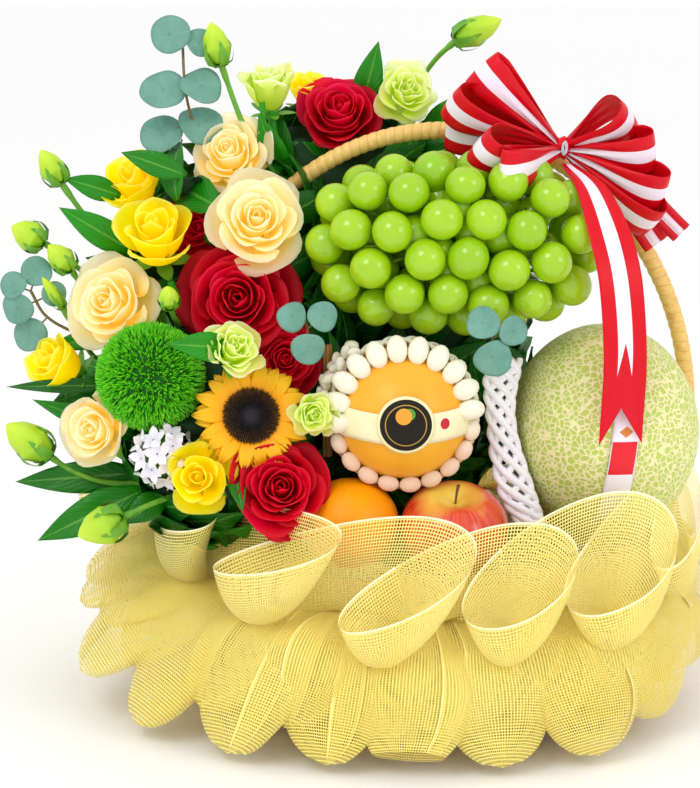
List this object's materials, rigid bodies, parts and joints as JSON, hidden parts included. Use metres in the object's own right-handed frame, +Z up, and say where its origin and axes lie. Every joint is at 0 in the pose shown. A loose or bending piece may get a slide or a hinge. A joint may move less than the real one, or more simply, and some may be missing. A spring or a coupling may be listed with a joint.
{
  "type": "fruit gift basket",
  "caption": "Oval basket of fruit and flowers: netted melon, round pear, grapes, apple and orange, roses and buds, under an arched handle with a satin bow, in a mesh ruffle.",
  "frame": {"origin": "centre of the basket's flat base, on the surface it stands on", "axes": "+X towards the melon's side along the handle's span, -Y towards the front that the fruit and flowers face, +Z up"},
  "size_m": [0.5201, 0.417, 0.5017],
  "materials": {
    "cane": "wrapped golden cane",
    "straw": "shredded straw",
    "leaf_green": "fresh leaf",
    "eucalyptus_green": "waxy blue-green leaf",
    "bud_green": "fresh closed bud",
    "pale_green_petal": "soft petal",
    "red_petal": "velvety petal",
    "peach_petal": "soft petal",
    "yellow_petal": "soft petal",
    "sunflower_yellow": "soft petal",
    "pompon_green": "spiky florets",
    "white_petal": "soft petal",
    "grape_skin": "thin shiny fruit skin",
    "pear_skin": "freckled fruit skin",
    "melon_skin": "netted rind",
    "orange_skin": "dimpled rind",
    "apple_skin": "streaked shiny fruit skin",
    "foam": "white foam net",
    "label_paper": "plain printed paper",
    "yellow_mesh": "open woven mesh ribbon",
    "striped_satin": "satin ribbon with a white stripe"
  },
  "bodies": {
    "root": {"apple": "apple_skin", "basket": "cane", "bow": "striped_satin", "bow_long_tail": "striped_satin", "bud_bottom": "bud_green", "bud_far_left": "bud_green", "bud_inner": "bud_green", "bud_left_pair": "bud_green", "bud_left_second": "bud_green", "bud_low_left": "bud_green", "bud_right": "bud_green", "bud_slim": "bud_green", "bud_top": "bud_green", "cane_prop": "cane", "eucalyptus_left": "eucalyptus_green", "eucalyptus_middle": "eucalyptus_green", "eucalyptus_right": "eucalyptus_green", "eucalyptus_top": "eucalyptus_green", "foam_sleeve": "foam", "foliage": "leaf_green", "grapes": "grape_skin", "handle": "cane", "lisianthus_low": "pale_green_petal", "lisianthus_middle": "pale_green_petal", "lisianthus_right": "pale_green_petal", "lisianthus_top": "pale_green_petal", "melon": "melon_skin", "melon_label": "label_paper", "orange": "orange_skin", "peach_rose_left": "peach_petal", "peach_rose_low": "peach_petal", "peach_rose_middle": "peach_petal", "peach_rose_top": "peach_petal", "pear": "pear_skin", "pear_band": "label_paper", "pear_foam_net": "foam", "pear_sticker": "label_paper", "pompon": "pompon_green", "red_rose_back": "red_petal", "red_rose_centre": "red_petal", "red_rose_low": "red_petal", "red_rose_middle": "red_petal", "red_rose_top": "red_petal", "ruffle_collar": "yellow_mesh", "ruffle_skirt": "yellow_mesh", "straw_bed": "straw", "sunflower": "sunflower_yellow", "white_florets": "white_petal", "yellow_rose_back": "yellow_petal", "yellow_rose_left": "yellow_petal", "yellow_rose_low": "yellow_petal", "yellow_rose_middle": "yellow_petal", "yellow_rose_top": "yellow_petal"}
  },
  "joints": []
}
